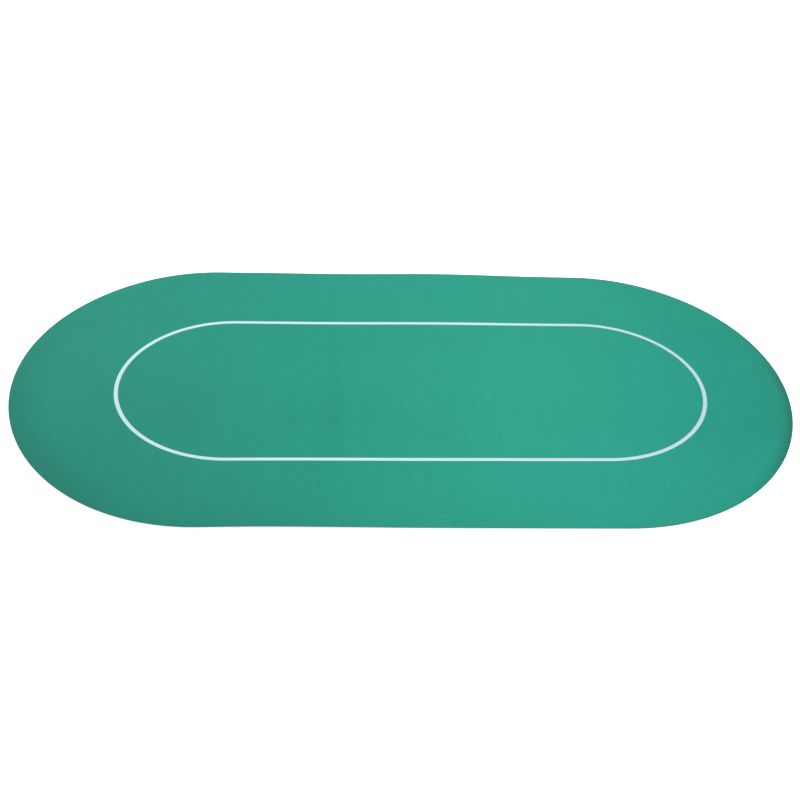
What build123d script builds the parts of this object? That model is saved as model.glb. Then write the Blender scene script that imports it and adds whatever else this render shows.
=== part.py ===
from build123d import *
import os

# Roll-out oval poker table top: sponge rubber faced with a printed playing cloth.
#
# The outline is an oval with two straight sides and half-round ends. All layers
# share it, because the finished laminate is die-cut in one stroke.
# The origin is at the middle of the underside. +X runs along the mat and +Z
# points up out of the playing surface. Lengths are in millimetres.

# Outline of the mat
mat_length = 1800.0
mat_width = 900.0

# Layers, from the table up
foam_thickness = 1.5  # sponge rubber with a non-slip underside
film_thickness = 0.1  # hot-melt film that bonds the cloth to the rubber
cloth_thickness = 0.4  # knitted polyester playing cloth

# Betting line, printed round the playing area: straight sides and half-elliptical
# ends. Each margin runs from the mat's edge to the middle of the line. The print
# sits a little towards the +X end and is turned a little about its own middle, as
# the printed cloth lay when it was cut.
line_side_margin = 206.0
line_left_margin = 236.0
line_right_margin = 199.5
line_end_reach = 262.0  # from where the line starts to turn to the tip of its end
line_skew = 0.32  # degrees, anticlockwise from above
line_breadth = 10.0
ink_depth = 0.15  # how far the ink soaks into the cloth

# Heights of the faces between the layers
film_bottom = foam_thickness
cloth_bottom = film_bottom + film_thickness
cloth_top = cloth_bottom + cloth_thickness

# Size and place of the betting line's middle
line_length = mat_length - line_left_margin - line_right_margin
line_width = mat_width - 2 * line_side_margin
line_shift = (line_left_margin - line_right_margin) / 2
line_straight = line_length - 2 * line_end_reach


def draw_line_oval(outset, mode=Mode.ADD):
    """Draw the oval that runs outside the middle of the betting line by an outset."""
    Rectangle(line_straight, line_width + 2 * outset, mode=mode)
    with Locations((-line_straight / 2, 0), (line_straight / 2, 0)):
        Ellipse(line_end_reach + outset, line_width / 2 + outset, mode=mode)


def draw_betting_line():
    """Draw the oval band of the betting line in the open sketch."""
    with Locations(Location((line_shift, 0), line_skew)):
        draw_line_oval(line_breadth / 2)
        draw_line_oval(-line_breadth / 2, mode=Mode.SUBTRACT)


# Sponge rubber base, which lies on the table and gives the mat its cushioning
with BuildPart() as foam_base:
    with BuildSketch(Plane.XY):
        SlotOverall(mat_length, mat_width)
    extrude(amount=foam_thickness)

# Hot-melt film between the rubber and the cloth, seen only at the cut edge
with BuildPart() as bond_film:
    with BuildSketch(Plane.XY.offset(film_bottom)):
        SlotOverall(mat_length, mat_width)
    extrude(amount=film_thickness)

# Playing cloth, with the band that the ink fills taken out of its top
with BuildPart() as face_cloth:
    with BuildSketch(Plane.XY.offset(cloth_bottom)):
        SlotOverall(mat_length, mat_width)
    extrude(amount=cloth_thickness)
    with BuildSketch(Plane.XY.offset(cloth_top)):
        draw_betting_line()
    extrude(amount=-ink_depth, mode=Mode.SUBTRACT)

# Inked fibres of the betting line, level with the cloth round them
with BuildPart() as betting_line:
    with BuildSketch(Plane.XY.offset(cloth_top)):
        draw_betting_line()
    extrude(amount=-ink_depth)

foam_base.part.label = "foam_base"
bond_film.part.label = "bond_film"
face_cloth.part.label = "face_cloth"
betting_line.part.label = "betting_line"

os.makedirs("parts", exist_ok=True)
for layer in (foam_base, bond_film, face_cloth, betting_line):
    export_step(layer.part, f"parts/{layer.part.label}.step")
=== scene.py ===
import math

import bmesh
import bpy
from bpy.props import FloatProperty, FloatVectorProperty, PointerProperty
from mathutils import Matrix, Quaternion, Vector, noise


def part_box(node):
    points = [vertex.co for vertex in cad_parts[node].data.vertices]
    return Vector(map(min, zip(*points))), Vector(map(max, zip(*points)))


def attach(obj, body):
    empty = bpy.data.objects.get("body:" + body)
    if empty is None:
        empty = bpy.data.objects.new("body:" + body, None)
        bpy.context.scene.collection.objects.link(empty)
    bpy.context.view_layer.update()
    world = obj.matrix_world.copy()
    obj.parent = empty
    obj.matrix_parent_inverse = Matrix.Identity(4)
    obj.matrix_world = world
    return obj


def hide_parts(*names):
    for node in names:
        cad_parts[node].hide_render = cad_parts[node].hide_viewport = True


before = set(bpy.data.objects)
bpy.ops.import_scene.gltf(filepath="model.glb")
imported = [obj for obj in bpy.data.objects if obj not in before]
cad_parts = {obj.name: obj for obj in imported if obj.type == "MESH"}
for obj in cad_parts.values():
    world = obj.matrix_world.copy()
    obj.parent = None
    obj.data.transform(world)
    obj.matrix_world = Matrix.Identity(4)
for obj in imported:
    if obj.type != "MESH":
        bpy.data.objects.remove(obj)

bl_info = {
    "name": "Roll-out Poker Table Mat",
    "version": (1, 0, 0),
    "blender": (4, 5, 0),
    "location": "View3D > Sidebar > Poker Mat",
    "description": "Builds an oval roll-out poker table top in its layers, with a plain studio",
    "category": "Object",
}

BODY = "root"
REACH_LAYER = "reach"
UP = Vector((0, 0, 1))


# ---------------------------------------------------------------------------
# The plan of the mat, read from the frame
# ---------------------------------------------------------------------------

LINE_TURN = math.radians(0.32)  # how far the printed line is turned on the mat
LINE_BREADTH = 0.010
LINE_POINT = 0.018  # how much further each end of the line reaches than a half circle would

CLOTH_LOW, CLOTH_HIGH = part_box("face_cloth")
FILM_LOW, FILM_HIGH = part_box("bond_film")
FOAM_LOW, FOAM_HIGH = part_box("foam_base")
LINE_LOW, LINE_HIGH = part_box("betting_line")

MAT_LENGTH = round(CLOTH_HIGH.x - CLOTH_LOW.x, 3)
MAT_WIDTH = round(CLOTH_HIGH.y - CLOTH_LOW.y, 3)
MAT_RADIUS = MAT_WIDTH / 2
MAT_HALF = MAT_LENGTH / 2 - MAT_RADIUS  # from the middle to where an end starts to turn

# The turned line's box gives back half the length of its straight sides and how far
# its outer edge lies from the line between the middles of its ends.
LINE_SPAN = LINE_HIGH - LINE_LOW
LINE_HALF = ((LINE_SPAN.x - LINE_SPAN.y) / 2 - LINE_POINT) / (math.cos(LINE_TURN) - math.sin(LINE_TURN))
LINE_OUTER = LINE_SPAN.y / 2 - LINE_HALF * math.sin(LINE_TURN)
LINE_INNER = LINE_OUTER - LINE_BREADTH
LINE_MIDDLE = (LINE_LOW.x + LINE_HIGH.x) / 2
INK_DEPTH = LINE_SPAN.z


# ---------------------------------------------------------------------------
# Settings
# ---------------------------------------------------------------------------


class PokerMatLie(bpy.types.PropertyGroup):
    """How the limp mat lies on the table."""

    far_edge_rise: FloatProperty(
        name="Far edge rise",
        description="Height of the highest swell under the far long edge",
        default=0.0075,
        subtype="DISTANCE",
        unit="LENGTH",
    )
    near_edge_rise: FloatProperty(
        name="Near edge rise",
        description="Height of the highest swell under the near long edge",
        default=0.0065,
        subtype="DISTANCE",
        unit="LENGTH",
    )
    left_end_rise: FloatProperty(
        name="Left end rise",
        description="Height that the left end keeps from being rolled up",
        default=0.0028,
        subtype="DISTANCE",
        unit="LENGTH",
    )
    right_end_rise: FloatProperty(
        name="Right end rise",
        description="Height that the right end keeps from being rolled up",
        default=0.0025,
        subtype="DISTANCE",
        unit="LENGTH",
    )


class PokerMatCloth(bpy.types.PropertyGroup):
    """The knitted playing cloth and the line printed on it."""

    cloth_colour: FloatVectorProperty(
        name="Cloth colour",
        description="Dyed colour of the playing cloth",
        subtype="COLOR",
        size=3,
        min=0.0,
        max=1.0,
        default=(0.0067, 0.32, 0.224),
    )
    ink_colour: FloatVectorProperty(
        name="Line colour",
        description="Colour of the printed betting line",
        subtype="COLOR",
        size=3,
        min=0.0,
        max=1.0,
        default=(0.605, 0.825, 0.88),
    )
    edge_round: FloatProperty(
        name="Edge rounding",
        description="How far the die presses the cloth's top edge down as it cuts",
        default=0.00015,
        subtype="DISTANCE",
        unit="LENGTH",
    )


class PokerMatBacking(bpy.types.PropertyGroup):
    """The sponge rubber base and the film that holds the cloth to it."""

    rubber_colour: FloatVectorProperty(
        name="Rubber colour",
        description="Colour of the sponge rubber",
        subtype="COLOR",
        size=3,
        min=0.0,
        max=1.0,
        default=(0.055, 0.060, 0.058),
    )
    film_colour: FloatVectorProperty(
        name="Film colour",
        description="Colour of the bonding film at the cut edge",
        subtype="COLOR",
        size=3,
        min=0.0,
        max=1.0,
        default=(0.35, 0.40, 0.38),
    )
    pebble_pitch: FloatProperty(
        name="Pebble pitch",
        description="Distance between the small bumps that grip the table",
        default=0.0035,
        subtype="DISTANCE",
        unit="LENGTH",
    )


class PokerMatStage(bpy.types.PropertyGroup):
    """The floor, the studio light and the camera."""

    floor_colour: FloatVectorProperty(
        name="Floor colour",
        description="Colour of the plain floor",
        subtype="COLOR",
        size=3,
        min=0.0,
        max=1.0,
        default=(0.9, 0.9, 0.9),
    )
    floor_glow: FloatProperty(
        name="Floor glow",
        description="Light given off by the floor, which keeps it evenly pale",
        default=0.8,
        min=0.0,
    )
    left_power: FloatProperty(
        name="Left softbox",
        description="Power of the softbox beyond the left end",
        default=14.6,
        min=0.0,
        subtype="POWER",
        unit="POWER",
    )
    front_power: FloatProperty(
        name="Front softbox",
        description="Power of the softbox over the near edge, right of the middle",
        default=10.5,
        min=0.0,
        subtype="POWER",
        unit="POWER",
    )
    back_power: FloatProperty(
        name="Back softbox",
        description="Power of the softbox over the far edge, right of the middle",
        default=8.4,
        min=0.0,
        subtype="POWER",
        unit="POWER",
    )
    room_light: FloatProperty(
        name="Room light",
        description="Strength of the even light from all round",
        default=0.172,
        min=0.0,
    )
    camera_azimuth: FloatProperty(
        name="Camera azimuth",
        description="Camera's place round the mat, from straight in front of the near edge",
        default=math.radians(-4.97),
        subtype="ANGLE",
        unit="ROTATION",
    )
    camera_elevation: FloatProperty(
        name="Camera elevation",
        description="Camera's height above the table as an angle",
        default=math.radians(40.38),
        subtype="ANGLE",
        unit="ROTATION",
    )
    camera_distance: FloatProperty(
        name="Camera distance",
        description="From the point that the camera looks at to the camera",
        default=3.003,
        subtype="DISTANCE",
        unit="LENGTH",
    )
    camera_roll: FloatProperty(
        name="Camera roll",
        description="How far the camera leans over to its left",
        default=math.radians(3.59),
        subtype="ANGLE",
        unit="ROTATION",
    )
    camera_lens: FloatProperty(
        name="Camera lens",
        description="Focal length on a 36 mm wide sensor",
        default=58.84,
        subtype="DISTANCE_CAMERA",
        unit="CAMERA",
    )


# ---------------------------------------------------------------------------
# Shader graph helpers
# ---------------------------------------------------------------------------


class Wire:
    """An output of a shader node. Arithmetic on wires adds the Math nodes that work it out."""

    def __init__(self, finish, socket):
        self.finish = finish
        self.socket = socket

    def __add__(self, other):
        return self.finish.math("ADD", self, other)

    def __radd__(self, other):
        return self.finish.math("ADD", other, self)

    def __sub__(self, other):
        return self.finish.math("SUBTRACT", self, other)

    def __rsub__(self, other):
        return self.finish.math("SUBTRACT", other, self)

    def __mul__(self, other):
        return self.finish.math("MULTIPLY", self, other)

    def __rmul__(self, other):
        return self.finish.math("MULTIPLY", other, self)

    def __pow__(self, other):
        return self.finish.math("POWER", self, other)

    def __abs__(self):
        return self.finish.math("ABSOLUTE", self)


class Finish:
    """A material built from named nodes and expressions on their outputs."""

    def __init__(self, name):
        self.material = bpy.data.materials.new(name)
        self.material.use_nodes = True
        self.tree = self.material.node_tree
        self.tree.nodes.clear()

    def node(self, kind, settings=None, inputs=None, output=0):
        """Add a node: its settings first, then a value or a wire for each socket named or numbered."""
        made = self.tree.nodes.new("ShaderNode" + kind)
        for name, value in (settings or {}).items():
            setattr(made, name, value)
        for name, value in (inputs or {}).items():
            if isinstance(value, Wire):
                self.tree.links.new(value.socket, made.inputs[name])
            else:
                made.inputs[name].default_value = value
        return Wire(self, made.outputs[output]) if made.outputs else None

    def math(self, operation, *values):
        """A Math node on numbers or wires."""
        return self.node("Math", {"operation": operation}, dict(enumerate(values)))

    def place(self, scale=(1, 1, 1)):
        """Object coordinates, stretched."""
        where = self.node("TexCoord", output="Object")
        return self.node("Mapping", inputs={"Vector": where, "Scale": scale})

    def reach(self):
        """How far a point lay from the mat's spine before it was laid out."""
        return self.node("Attribute", {"attribute_name": REACH_LAYER}, output="Fac")

    def axis(self, vector, name):
        """One coordinate of a vector."""
        return self.node("SeparateXYZ", inputs={"Vector": vector}, output=name)

    def noise(self, where, scale, detail=2.0, roughness=0.5):
        """Cloudy noise about zero, from about -0.5 to 0.5."""
        sockets = {"Vector": where, "Scale": scale, "Detail": detail, "Roughness": roughness}
        return self.node("TexNoise", {"noise_dimensions": "3D"}, sockets) - 0.5

    def stray(self, distance, scale):
        """Object coordinates, each point moved a little, so that what is drawn on them isn't ruled."""
        where = self.node("TexCoord", output="Object")
        drift = self.node("TexNoise", inputs={"Vector": where, "Scale": scale}, output="Color")
        centred = self.node("VectorMath", {"operation": "SUBTRACT"}, {0: drift, 1: (0.5, 0.5, 0.5)})
        settings = {"operation": "MULTIPLY_ADD"}
        return self.node("VectorMath", settings, {0: centred, 1: (distance, distance, 0), 2: where})

    def mark(self, where, x, y, reach_x, reach_y):
        """A soft patch round a point: 1 at its middle and about a third at its reach."""
        centre = (-x / reach_x, -y / reach_y, 0)
        sockets = {"Vector": where, "Location": centre, "Scale": (1 / reach_x, 1 / reach_y, 0)}
        patch = self.node("Mapping", inputs=sockets)
        away = self.node("VectorMath", {"operation": "LENGTH"}, {0: patch}, output="Value")
        return self.math("EXPONENT", 0.0 - away ** 2.0)

    def cells(self, where, scale, feature="F1", spread=1.0):
        """Distance from the nearest of many scattered cell centres, in cells."""
        sockets = {"Vector": where, "Scale": scale, "Randomness": spread}
        return self.node("TexVoronoi", {"feature": feature}, sockets, output="Distance")

    def rise(self, value, low, high, to_low=0.0, to_high=1.0):
        """A smooth step from to_low to to_high while value goes from low to high."""
        settings = {"interpolation_type": "SMOOTHSTEP"}
        span = {"From Min": low, "From Max": high, "To Min": to_low, "To Max": to_high}
        return self.node("MapRange", settings, {"Value": value, **span})

    def mix(self, factor, first, second, blend="MIX"):
        """A mix of two colours."""
        sockets = {0: factor, 6: first, 7: second}
        return self.node("Mix", {"data_type": "RGBA", "blend_type": blend}, sockets, output=2)

    def tint(self, colour, red, green, blue):
        """A colour with each of its parts multiplied by a factor near 1."""
        factors = self.node("CombineColor", inputs={"Red": red, "Green": green, "Blue": blue})
        return self.mix(1.0, colour, factors, "MULTIPLY")

    def shade(self, colour, value):
        """A colour made lighter or darker by a factor near 1."""
        return self.tint(colour, value, value, value)

    def surface(self, colour, roughness, height, depth, **constants):
        """Finish the material: its colour, roughness, bump and what is the same all over."""
        bump = self.node("Bump", inputs={"Strength": 1.0, "Distance": depth, "Height": height})
        sockets = {"Base Color": colour, "Roughness": roughness, "Normal": bump}
        for name, value in constants.items():
            sockets[name.replace("_", " ")] = value
        shader = self.node("BsdfPrincipled", inputs=sockets)
        self.node("OutputMaterial", inputs={"Surface": shader})
        return self.material


def opaque(colour):
    """A colour property as the four numbers that a socket takes."""
    return (*colour, 1.0)


# ---------------------------------------------------------------------------
# Finishes
# ---------------------------------------------------------------------------


KNIT_DEPTH = 0.00035
INKED_KNIT_DEPTH = 0.0003  # ink fills the loops a little
INK_FEATHER = 0.0011  # breadth of the soft edge of the line
INK_WANDER = 0.0012  # how far the loops make that edge wander
INK_EDGE_LOSS = 0.85  # share of cloth colour at the very edge
PEBBLE_DEPTH = 0.0003


def knit_grain(finish):
    """Height of the knitted face, which the cloth and the ink on it share: fine, uneven loops."""
    loops = finish.noise(finish.place((1.0, 0.62, 1.0)), 900.0, 3.0, 0.65)
    fuzz = finish.noise(finish.place(), 2600.0, 1.0)
    return loops + 0.35 * fuzz


# Lighter and darker marks on the cloth: painted shade in the creases that packing and rolling left,
# painted light on the ridges and crests beside them, broad patches of painted light and shade, and
# some nap that rolling pressed down or lifted. The middle of each, how far it reaches along and
# across the mat, and how much lighter it looks.
PAINTED_SHADE_AND_NAP_MARKS = (
    # creases and the ridges beside them: painted shade in the creases, painted light on the ridges
    (-0.171, 0.02, 0.017, 0.25, -0.046),
    (-0.203, -0.12, 0.014, 0.16, -0.026),
    (-0.133, -0.17, 0.011, 0.13, 0.014),
    (-0.600, 0.10, 0.012, 0.17, 0.018),
    (-0.061, -0.30, 0.009, 0.06, 0.026),
    (-0.018, -0.29, 0.007, 0.05, -0.020),
    (0.006, -0.31, 0.007, 0.06, 0.022),
    (0.034, -0.30, 0.007, 0.05, -0.034),
    (0.130, 0.02, 0.012, 0.15, 0.012),
    (0.158, -0.03, 0.010, 0.18, -0.016),
    # broad patches of painted light and shade inside the line, where the light fell unevenly
    (-0.03, 0.17, 0.17, 0.07, -0.030),
    (-0.05, -0.09, 0.20, 0.08, -0.026),
    (-0.27, -0.09, 0.06, 0.06, -0.026),
    (-0.27, 0.20, 0.08, 0.05, -0.026),
    (-0.15, -0.13, 0.07, 0.10, -0.024),
    (0.05, -0.155, 0.09, 0.035, -0.026),
    (0.205, -0.06, 0.06, 0.17, 0.026),
    (-0.50, -0.11, 0.055, 0.08, -0.050),
    (0.30, 0.06, 0.12, 0.12, 0.036),
    (0.33, -0.18, 0.16, 0.06, 0.028),
    (0.55, -0.12, 0.14, 0.05, -0.020),
    (0.64, -0.19, 0.14, 0.05, -0.022),
    # broad patches of painted light and shade outside it, where the light fell unevenly
    (0.24, -0.33, 0.18, 0.06, 0.032),
    (-0.24, -0.31, 0.09, 0.10, -0.030),
    (-0.79, -0.05, 0.07, 0.14, 0.040),
    (-0.68, 0.17, 0.12, 0.08, 0.026),
    (-0.77, 0.21, 0.08, 0.06, -0.022),
    (-0.74, -0.25, 0.07, 0.05, -0.018),
    (-0.50, 0.42, 0.10, 0.05, -0.020),
    (0.50, 0.36, 0.30, 0.08, 0.026),
    (0.71, 0.22, 0.07, 0.04, -0.040),
    (0.72, -0.14, 0.09, 0.05, -0.026),
    # painted highlights on the crests that the rolled end keeps, and painted shade beside them
    (0.822, 0.08, 0.018, 0.05, 0.050),
    (0.800, -0.03, 0.015, 0.05, 0.034),
    (0.790, -0.22, 0.035, 0.06, 0.036),
    (0.743, -0.293, 0.035, 0.035, 0.026),
    (0.780, -0.06, 0.09, 0.20, -0.018),
)


NAP_STRAY = 0.02  # how far the marks wander from their plain shapes
NAP_STRAY_SCALE = 9.0

# Rims with painted shade at the left and right ends, where they curl down away from the light, and
# painted light at the far edge: how far each reaches in from the mat's edge, and how much darker or
# lighter it looks.
LEFT_RIM_BREADTH = 0.085
LEFT_RIM_PAINTED_SHADE = 0.135
RIGHT_RIM_BREADTH = 0.030
RIGHT_RIM_OVERRUN = 0.004  # it is still darkening where the mat ends
RIGHT_RIM_PAINTED_SHADE = 0.35
FAR_RIM_BREADTH = 0.060
FAR_RIM_BAND = 0.010  # from here out it is at its lightest
FAR_RIM_PAINTED_LIGHT = 0.01


def nap_and_painted_shade(finish):
    """How light the cloth looks, about 1: its marks of painted light and shade with some pressed nap,
    and the painted shade and light at the rims of the mat.
    """
    where = finish.stray(NAP_STRAY, NAP_STRAY_SCALE)
    shade = 1.0
    # each mark adds painted light or painted shade, with some pressed nap, to the cloth's lightness
    for *spot, lightness in PAINTED_SHADE_AND_NAP_MARKS:
        shade = finish.mark(where, *spot) * lightness + shade
    reach = finish.reach()
    x = finish.axis(where, "X")
    y = finish.axis(where, "Y")
    left = finish.rise(y, -0.44, -0.30, 0.45, 1.0) * finish.rise(y, -0.20, 0.45, 1.0, 0.0)
    left_rim_shade = finish.rise(reach, MAT_RADIUS - LEFT_RIM_BREADTH, MAT_RADIUS) * left
    left_rim_shade = left_rim_shade * finish.rise(x, -0.35, 0.0, 1.0, 0.0)
    right = finish.rise(y, -0.40, -0.20) * finish.rise(y, 0.0, 0.17, 1.0, 0.0)
    right_rim_shade = finish.rise(reach, MAT_RADIUS - RIGHT_RIM_BREADTH, MAT_RADIUS + RIGHT_RIM_OVERRUN)
    right_rim_shade = right_rim_shade * right * finish.rise(x, 0.60, 0.72)
    far_rim_light = finish.rise(reach, MAT_RADIUS - FAR_RIM_BREADTH, MAT_RADIUS - FAR_RIM_BAND)
    far_rim_light = far_rim_light * finish.rise(y, 0.10, 0.30)
    # painted shade at the left and right rims, painted light at the far rim
    return shade - left_rim_shade * LEFT_RIM_PAINTED_SHADE - right_rim_shade * RIGHT_RIM_PAINTED_SHADE + far_rim_light * FAR_RIM_PAINTED_LIGHT


# Places where the cloth is tinted whiter to stand in for uneven sheen, a painted reflection of the
# white light: the middle of each, how far it reaches along and across the mat, and how much more red
# and how much more blue it is.
PAINTED_SHEEN_MARKS = (
    (-0.78, -0.05, 0.20, 0.35, 0.50, 0.020),
    (-0.20, -0.02, 0.12, 0.32, -0.45, -0.010),
    (0.30, 0.05, 0.12, 0.45, 0.25, 0.000),
    (0.74, -0.02, 0.20, 0.50, -0.62, 0.015),
    (0.66, -0.33, 0.26, 0.14, 0.25, 0.045),
)


def painted_sheen_hue(finish):
    """How much red and how much blue the painted sheen puts into the cloth's colour, each about 1."""
    where = finish.place()
    red = 1.0
    blue = 1.0
    # each mark tints the colour as painted sheen, a painted reflection of white light
    for *spot, redder, bluer in PAINTED_SHEEN_MARKS:
        mark = finish.mark(where, *spot)
        red = mark * redder + red
        blue = mark * bluer + blue
    return red, blue


def playing_cloth(settings):
    """Dyed polyester knit: loops, faint yarn streaks, clouds in the dye, and marks, rims and tints of
    painted light, shade and sheen with some pressed nap.
    """
    finish = Finish("playing_cloth")
    grain = knit_grain(finish)
    along = finish.noise(finish.place((3.0, 120.0, 1.0)), 1.0, 3.0, 0.6)
    across = finish.noise(finish.place((95.0, 3.5, 1.0)), 1.0, 3.0, 0.6)
    clouds = finish.noise(finish.place(), 9.0, 3.0, 0.55)
    blotches = finish.noise(finish.place(), 45.0, 2.0, 0.5)
    flecks = finish.noise(finish.place(), 300.0, 2.0, 0.7)
    # the cloth's lightness, with painted light and shade from its marks and rims
    value = nap_and_painted_shade(finish) + 0.10 * grain + 0.05 * along + 0.10 * across
    value = value + 0.07 * clouds + 0.08 * blotches + 0.36 * flecks
    # red and blue factors of the painted sheen
    red, blue = painted_sheen_hue(finish)
    colour = finish.tint(opaque(settings.cloth_colour), value * red, value, value * blue)
    roughness = 0.86 + 0.10 * grain
    sheen = {"Sheen_Weight": 0.12, "Sheen_Roughness": 0.5, "Specular_IOR_Level": 0.36}
    return finish.surface(colour, roughness, grain, KNIT_DEPTH, **sheen)


def line_ink(settings):
    """White ink soaked into the knit, thinner where single fibres show through."""
    finish = Finish("line_ink")
    grain = knit_grain(finish)
    worn = finish.rise(finish.noise(finish.place(), 420.0, 2.0), 0.14, 0.36, 0.0, 0.22)
    off_middle = abs(finish.reach() - (LINE_INNER + LINE_OUTER) / 2) + INK_WANDER * grain
    half = LINE_BREADTH / 2
    feather = finish.rise(off_middle, half - INK_FEATHER, half, 0.0, INK_EDGE_LOSS)
    clouds = finish.noise(finish.place(), 30.0, 2.0)
    # painted light: the line is made lighter towards the -X end and darker towards the +X end, for how
    # the light fell on it
    ink_painted_light = finish.rise(finish.axis(finish.place(), "X"), -0.75, 0.75, 1.16, 0.87)
    colour = finish.mix(worn, opaque(settings.ink_colour), opaque(settings.cloth_colour))
    colour = finish.shade(colour, ink_painted_light + 0.06 * grain + 0.05 * clouds)
    colour = finish.mix(feather, colour, opaque(settings.cloth_colour))
    roughness = 0.8 + 0.1 * grain
    return finish.surface(colour, roughness, grain, INKED_KNIT_DEPTH, Specular_IOR_Level=0.4)


def sponge_rubber(settings):
    """Charcoal sponge rubber: a pebbled skin underneath and open pores where it is cut."""
    finish = Finish("sponge_rubber")
    pebbles = finish.cells(finish.place(), 1.0 / settings.pebble_pitch, "SMOOTH_F1", 0.9)
    pores = finish.cells(finish.place(), 1100.0)
    skin = finish.rise(pebbles, 0.15, 0.6, 1.0, 0.0)
    pits = finish.rise(pores, 0.1, 0.42)
    facing = finish.axis(finish.node("NewGeometry", output="Normal"), "Z")
    cut = finish.rise(abs(facing), 0.3, 0.7, 1.0, 0.0)
    height = cut * pits * 0.5 + (1.0 - cut) * skin
    clouds = finish.noise(finish.place(), 14.0, 3.0)
    # painted shade: the cut face is darker in its pores, and the skin darker between its pebbles and
    # lighter on their tops
    value = 1.0 + 0.25 * clouds + cut * (pits - 0.7) * 0.5 + (1.0 - cut) * (skin - 0.5) * 0.16
    colour = finish.shade(opaque(settings.rubber_colour), value)
    roughness = 0.9 - (1.0 - cut) * skin * 0.12
    return finish.surface(colour, roughness, height, PEBBLE_DEPTH, Specular_IOR_Level=0.35)


def bond_film(settings):
    """Milky hot-melt film, seen as a hairline at the cut edge."""
    finish = Finish("bond_film")
    ripple = finish.noise(finish.place(), 260.0, 2.0)
    colour = finish.shade(opaque(settings.film_colour), 1.0 + 0.3 * ripple)
    return finish.surface(colour, 0.55 + 0.2 * ripple, ripple, 0.0001)


def floor_paint(settings):
    """Plain pale floor with a trace of unevenness."""
    finish = Finish("studio_floor")
    haze = finish.noise(finish.place(), 1.3, 2.0)
    colour = finish.shade(opaque(settings.floor_colour), 1.0 + 0.01 * haze)
    glow = {"Emission_Color": (1, 1, 1, 1), "Emission_Strength": settings.floor_glow}
    return finish.surface(colour, 0.9, haze, 0.0001, **glow)


# ---------------------------------------------------------------------------
# How the mat lies
# ---------------------------------------------------------------------------

# Swells where the mat stands off the table: the middle of each, how far it reaches
# along and across the mat, its share of a height, and the setting that holds the height.
SWELLS = (
    (0.10, 0.50, 0.22, 0.25, 1.0, "far_edge_rise"),
    (-0.30, 0.50, 0.20, 0.25, 0.44, "far_edge_rise"),
    (-0.55, 0.40, 0.20, 0.20, 0.44, "far_edge_rise"),
    (0.55, 0.42, 0.20, 0.20, 0.19, "far_edge_rise"),
    (-0.30, -0.50, 0.26, 0.25, 1.0, "near_edge_rise"),
    (0.10, -0.50, 0.20, 0.25, 0.20, "near_edge_rise"),
    (-0.84, 0.00, 0.14, 0.30, 1.0, "left_end_rise"),
    (0.84, 0.00, 0.14, 0.30, 1.0, "right_end_rise"),
)
RIPPLE = 0.00025  # height of the slight unevenness all over
RIPPLE_SPAN = 0.17
TIP_CURL = 0.032  # how much of the right end's rim turns down again
TIP_DROP = 0.6  # share of its height that the very tip loses


def smooth_step(value, low, high):
    """0 below low, 1 above high, and a smooth rise between."""
    share = min(1.0, max(0.0, (value - low) / (high - low)))
    return share * share * (3.0 - 2.0 * share)


def stand_off(lie, x, y, reach):
    """Height of the mat's underside over the table at a point."""
    height = 0.0
    for middle_x, middle_y, reach_x, reach_y, share, name in SWELLS:
        away = ((x - middle_x) / reach_x) ** 2 + ((y - middle_y) / reach_y) ** 2
        height += share * getattr(lie, name) * math.exp(-away)
    height += RIPPLE * (1.0 + noise.noise(Vector((x, y, 0)) / RIPPLE_SPAN))
    rim = smooth_step(reach, MAT_RADIUS - TIP_CURL, MAT_RADIUS)
    curl = rim * smooth_step(x, MAT_HALF, MAT_LENGTH / 2)
    return max(0.0, height * (1.0 - TIP_DROP * curl))


# ---------------------------------------------------------------------------
# Mesh of one layer
# ---------------------------------------------------------------------------

END_STEPS = 96
SIDE_STEPS = 108
MERGE = 1e-6
SMOOTH_ANGLE = math.radians(30)
RIM_SEGMENTS = 3
FOAM_ROUND = 0.0003  # how far the rubber's bottom edge is rounded


def evenly(low, high, steps):
    """Numbers from low up to high, both included."""
    return [low + (high - low) * n / steps for n in range(steps + 1)]


def spine_point(x):
    """The nearest point to x on the line between the centres of the two half-round ends."""
    return max(-MAT_HALF, min(MAT_HALF, x))


def only(kind, items):
    """The items that are one kind of mesh element."""
    return [item for item in items if isinstance(item, kind)]


def sweep_oval(bm, reaches):
    """Sweep a row of points, at these distances from the spine, once round the oval."""
    row = [bm.verts.new((MAT_HALF, -reach, 0)) for reach in reaches]
    edges = [bm.edges.new(pair) for pair in zip(row, row[1:])]
    for side in (1, -1):
        geom = edges + list({vert for edge in edges for vert in edge.verts})
        turned = bmesh.ops.spin(
            bm,
            geom=geom,
            cent=(side * MAT_HALF, 0, 0),
            axis=UP,
            angle=math.pi,
            steps=END_STEPS,
            use_duplicate=False,
        )
        edges = only(bmesh.types.BMEdge, turned["geom_last"])
        step = -side * 2 * MAT_HALF / SIDE_STEPS
        for _ in range(SIDE_STEPS):
            pulled = bmesh.ops.extrude_edge_only(bm, edges=edges)["geom"]
            verts = set(only(bmesh.types.BMVert, pulled))
            edges = [edge for edge in only(bmesh.types.BMEdge, pulled) if verts.issuperset(edge.verts)]
            bmesh.ops.translate(bm, verts=list(verts), vec=(step, 0, 0))
    bmesh.ops.remove_doubles(bm, verts=bm.verts, dist=MERGE)
    bmesh.ops.recalc_face_normals(bm, faces=bm.faces)


def press_down(bm, faces, depth):
    """Extrude faces downwards by depth. The faces that they came from stay where they were."""
    copied = bmesh.ops.extrude_face_region(bm, geom=faces)["geom"]
    bmesh.ops.translate(bm, verts=only(bmesh.types.BMVert, copied), vec=(0, 0, -depth))


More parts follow.
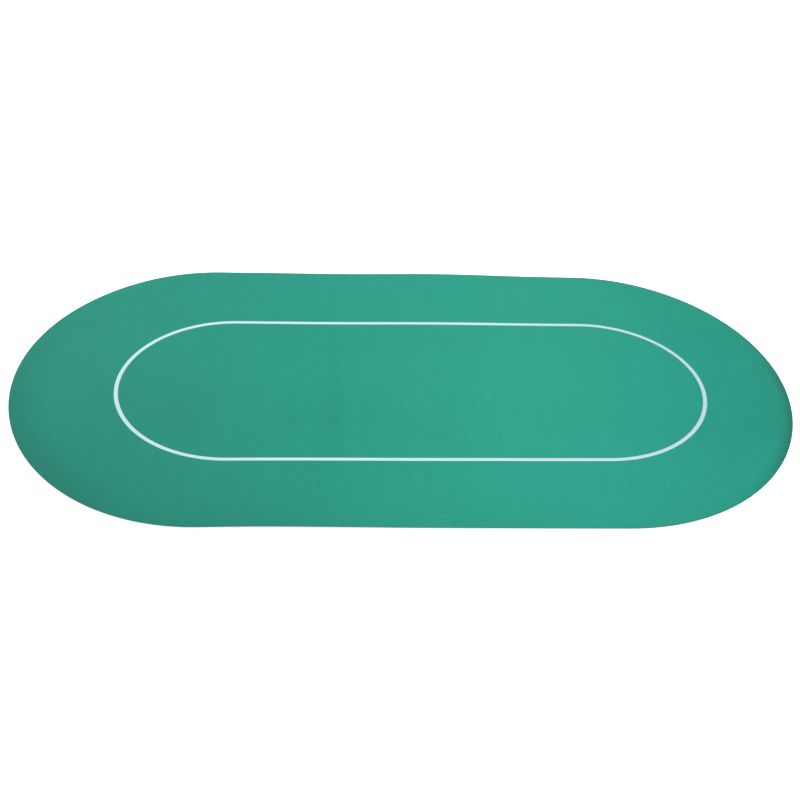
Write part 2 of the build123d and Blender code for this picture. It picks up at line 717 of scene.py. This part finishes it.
def thicken(bm, low, high):
    """Turn the flat oval into a closed layer between two heights."""
    bmesh.ops.translate(bm, verts=bm.verts, vec=(0, 0, high))
    press_down(bm, bm.faces[:], high - low)
    bmesh.ops.recalc_face_normals(bm, faces=bm.faces)


def reach_of(point):
    """Distance of a point from the spine."""
    return math.hypot(point.x - spine_point(point.x), point.y)


def sink_band(bm, inner, outer, depth):
    """Sink the top of the layer by depth between two distances from the spine."""
    band = [
        face for face in bm.faces
        if face.normal.z > 0.5 and inner < reach_of(face.calc_center_median()) < outer
    ]
    press_down(bm, band, depth)
    bmesh.ops.delete(bm, geom=band, context="FACES_ONLY")


def bevel(bm, edges, offset, segments):
    """Round off edges."""
    bmesh.ops.bevel(
        bm, geom=edges, offset=offset, affect="EDGES", segments=segments, profile=0.5, material=-1
    )


def round_rim(bm, height, offset):
    """Round off the rim where the outer wall meets the face at this height."""
    at_rim = {
        vert for vert in bm.verts
        if abs(vert.co.z - height) < MERGE and reach_of(vert.co) > MAT_RADIUS - MERGE
    }
    rim = [edge for edge in bm.edges if at_rim.issuperset(edge.verts)]
    bevel(bm, rim, offset, RIM_SEGMENTS)


def lay_out(bm, lie):
    """Slide the inner ovals onto the betting line's place, then lay the mesh over its swells."""
    reach_layer = bm.verts.layers.float.new(REACH_LAYER)
    for vert in bm.verts:
        spine = spine_point(vert.co.x)
        reach = reach_of(vert.co)
        vert[reach_layer] = reach
        share = min(1.0, max(0.0, (MAT_RADIUS - reach) / (MAT_RADIUS - LINE_OUTER)))
        half = MAT_HALF + share * (LINE_HALF - MAT_HALF)
        point = 1.0 + share * LINE_POINT / max(reach, LINE_INNER)
        flat = Vector((spine * half / MAT_HALF + (vert.co.x - spine) * point, vert.co.y, 0))
        flat.rotate(Quaternion(UP, share * LINE_TURN))
        flat.x += share * LINE_MIDDLE
        flat.z = vert.co.z + stand_off(lie, flat.x, flat.y, reach)
        vert.co = flat


def renumber(items, place):
    """Number mesh elements in the order of their places."""
    ranks = {item: rank for rank, item in enumerate(sorted(items, key=place))}
    items.sort(key=ranks.get)
    items.index_update()


def number_by_place(bm):
    """Number the mesh by where its elements lie, because spin's own order changes between runs."""
    renumber(bm.verts, lambda vert: vert.co[:])
    renumber(bm.edges, lambda edge: sorted(vert.index for vert in edge.verts))
    renumber(bm.faces, lambda face: sorted(vert.index for vert in face.verts))


def store(name, bm, material):
    """Put a finished mesh into the scene as an object."""
    number_by_place(bm)
    mesh = bpy.data.meshes.new(name)
    bm.to_mesh(mesh)
    bm.free()
    mesh.materials.append(material)
    stored = bpy.data.objects.new(name, mesh)
    bpy.context.scene.collection.objects.link(stored)
    return stored


def make_layer(name, node, bm, material):
    """Store a finished mesh as a piece that rides on the mat in place of a CAD node."""
    for face in bm.faces:
        face.smooth = True
    for edge in bm.edges:
        edge.smooth = edge.calc_face_angle(0.0) < SMOOTH_ANGLE
    piece = store(name, bm, material)
    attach(piece, BODY)
    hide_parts(node)
    return piece


# Rows of points from the spine to the rim: inside the line, the line itself, outside it
# and where the tip curls
CURL_START = MAT_RADIUS - TIP_CURL
INSIDE_ROW = evenly(0.0, LINE_INNER, 17)
LINE_ROW = evenly(LINE_INNER, LINE_OUTER, 2)
OUTSIDE_ROW = evenly(LINE_OUTER, CURL_START, 13)
CURL_ROW = evenly(CURL_START, MAT_RADIUS, 5)
WHOLE_ROW = INSIDE_ROW + LINE_ROW[1:] + OUTSIDE_ROW[1:] + CURL_ROW[1:]


class POKERMAT_OT_foam_base(bpy.types.Operator):
    """Build the sponge rubber base"""

    bl_idname = "pokermat.foam_base"
    bl_label = "Foam Base"

    def execute(self, context):
        scene = context.scene
        bm = bmesh.new()
        sweep_oval(bm, WHOLE_ROW)
        thicken(bm, FOAM_LOW.z, FOAM_HIGH.z)
        round_rim(bm, FOAM_LOW.z, FOAM_ROUND)
        lay_out(bm, scene.poker_mat_lie)
        finish = sponge_rubber(scene.poker_mat_backing)
        piece = make_layer("rubber_base", "foam_base", bm, finish)
        return {"FINISHED"}


class POKERMAT_OT_bond_film(bpy.types.Operator):
    """Build the film that bonds the cloth to the rubber"""

    bl_idname = "pokermat.bond_film"
    bl_label = "Bond Film"

    def execute(self, context):
        scene = context.scene
        bm = bmesh.new()
        sweep_oval(bm, WHOLE_ROW)
        thicken(bm, FILM_LOW.z, FILM_HIGH.z)
        lay_out(bm, scene.poker_mat_lie)
        make_layer("bonding_film", "bond_film", bm, bond_film(scene.poker_mat_backing))
        return {"FINISHED"}


class POKERMAT_OT_face_cloth(bpy.types.Operator):
    """Build the playing cloth, with the band for the ink sunk in its top"""

    bl_idname = "pokermat.face_cloth"
    bl_label = "Face Cloth"

    def execute(self, context):
        scene = context.scene
        settings = scene.poker_mat_cloth
        bm = bmesh.new()
        sweep_oval(bm, WHOLE_ROW)
        thicken(bm, CLOTH_LOW.z, CLOTH_HIGH.z)
        sink_band(bm, LINE_INNER, LINE_OUTER, INK_DEPTH)
        round_rim(bm, CLOTH_HIGH.z, settings.edge_round)
        lay_out(bm, scene.poker_mat_lie)
        piece = make_layer("playing_cloth", "face_cloth", bm, playing_cloth(settings))
        return {"FINISHED"}


class POKERMAT_OT_betting_line(bpy.types.Operator):
    """Build the printed betting line"""

    bl_idname = "pokermat.betting_line"
    bl_label = "Betting Line"

    def execute(self, context):
        scene = context.scene
        bm = bmesh.new()
        sweep_oval(bm, LINE_ROW)
        thicken(bm, LINE_LOW.z, LINE_HIGH.z)
        lay_out(bm, scene.poker_mat_lie)
        make_layer("printed_line", "betting_line", bm, line_ink(scene.poker_mat_cloth))
        return {"FINISHED"}


# ---------------------------------------------------------------------------
# Stage
# ---------------------------------------------------------------------------

FLOOR_RADIUS = 14.0
FLOOR_SIDES = 96
FLOOR_DROP = 0.0005  # keeps the floor clear of the mat's underside
WALL_HEIGHT = 2.4  # the floor curves up into a low wall all round
WALL_CURVE = 1.6
WALL_SEGMENTS = 8
SENSOR_WIDTH = 36.0
AIM = Vector((-0.0163, -0.0414, 0.0))  # the point that the camera looks at
SOFTBOX_SIDE = 1.0
SOFTBOX_AIM = Vector((0.1, 0.0, 0.0))
SOFTBOXES = {
    "left": (-1.57, 0.93, 1.2),
    "front": (0.43, -0.47, 1.2),
    "back": (0.40, 0.77, 1.2),
}


def add_floor(settings):
    """A plain pale floor, just under the mat, that curves up into a low round wall."""
    bm = bmesh.new()
    bmesh.ops.create_circle(bm, cap_ends=True, segments=FLOOR_SIDES, radius=FLOOR_RADIUS)
    foot = bm.edges[:]
    pulled = bmesh.ops.extrude_edge_only(bm, edges=foot)["geom"]
    bmesh.ops.translate(bm, verts=only(bmesh.types.BMVert, pulled), vec=(0, 0, WALL_HEIGHT))
    bevel(bm, foot, WALL_CURVE, WALL_SEGMENTS)
    bmesh.ops.translate(bm, verts=bm.verts, vec=(0, 0, -FLOOR_DROP))
    bmesh.ops.recalc_face_normals(bm, faces=bm.faces)
    for face in bm.faces:
        face.smooth = True
    floor = store("studio_floor", bm, floor_paint(settings))


def add_softbox(name, place, power):
    """A square area light that faces the middle of the mat."""
    light = bpy.data.lights.new(name, "AREA")
    light.size = SOFTBOX_SIDE
    light.energy = power
    box = bpy.data.objects.new(name, light)
    box.location = place
    box.rotation_euler = (SOFTBOX_AIM - Vector(place)).to_track_quat("-Z", "Y").to_euler()
    box.visible_camera = False
    bpy.context.scene.collection.objects.link(box)


def add_room_light(settings):
    """Even white light from all round."""
    world = bpy.data.worlds.new("studio_room")
    world.use_nodes = True
    background = world.node_tree.nodes["Background"]
    background.inputs["Color"].default_value = (1, 1, 1, 1)
    background.inputs["Strength"].default_value = settings.room_light
    bpy.context.scene.world = world


def add_camera(settings):
    """The camera, from its angles round the point that it looks at."""
    azimuth = settings.camera_azimuth
    elevation = settings.camera_elevation
    back = Vector((
        math.sin(azimuth) * math.cos(elevation),
        -math.cos(azimuth) * math.cos(elevation),
        math.sin(elevation),
    ))
    data = bpy.data.cameras.new("camera")
    data.lens = settings.camera_lens
    data.sensor_width = SENSOR_WIDTH
    camera = bpy.data.objects.new("camera", data)
    camera.rotation_mode = "QUATERNION"
    camera.location = AIM + settings.camera_distance * back
    camera.rotation_quaternion = (-back).to_track_quat("-Z", "Y") @ Quaternion(UP, settings.camera_roll)
    bpy.context.scene.collection.objects.link(camera)
    bpy.context.scene.camera = camera


class POKERMAT_OT_stage(bpy.types.Operator):
    """Build the floor, the light and the camera"""

    bl_idname = "pokermat.stage"
    bl_label = "Stage"

    def execute(self, context):
        settings = context.scene.poker_mat_stage
        add_floor(settings)
        for name, place in SOFTBOXES.items():
            add_softbox(name + "_softbox", place, getattr(settings, name + "_power"))
        add_room_light(settings)
        add_camera(settings)
        context.scene.view_settings.view_transform = "Standard"
        return {"FINISHED"}


# ---------------------------------------------------------------------------
# Panel and registration
# ---------------------------------------------------------------------------

STEPS = (
    POKERMAT_OT_foam_base,
    POKERMAT_OT_bond_film,
    POKERMAT_OT_face_cloth,
    POKERMAT_OT_betting_line,
    POKERMAT_OT_stage,
)
SETTINGS = {
    "poker_mat_lie": PokerMatLie,
    "poker_mat_cloth": PokerMatCloth,
    "poker_mat_backing": PokerMatBacking,
    "poker_mat_stage": PokerMatStage,
}


class POKERMAT_PT_panel(bpy.types.Panel):
    """Lists the mat's settings and the steps that build it"""

    bl_label = "Poker Mat"
    bl_idname = "POKERMAT_PT_panel"
    bl_space_type = "VIEW_3D"
    bl_region_type = "UI"
    bl_category = "Poker Mat"

    def draw(self, context):
        for name, group in SETTINGS.items():
            box = self.layout.box()
            box.label(text=group.__doc__)
            for key in group.__annotations__:
                box.prop(getattr(context.scene, name), key)
        for step in STEPS:
            self.layout.operator(step.bl_idname)


def register():
    for cls in (*SETTINGS.values(), *STEPS, POKERMAT_PT_panel):
        bpy.utils.register_class(cls)
    for name, group in SETTINGS.items():
        setattr(bpy.types.Scene, name, PointerProperty(type=group))


def unregister():
    for name in SETTINGS:
        delattr(bpy.types.Scene, name)
    for cls in (POKERMAT_PT_panel, *reversed(STEPS), *SETTINGS.values()):
        bpy.utils.unregister_class(cls)


def main():
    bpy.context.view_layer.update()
    register()
    for step in STEPS:
        group, name = step.bl_idname.split(".")
        getattr(getattr(bpy.ops, group), name)()


if __name__ == "__main__":
    main()
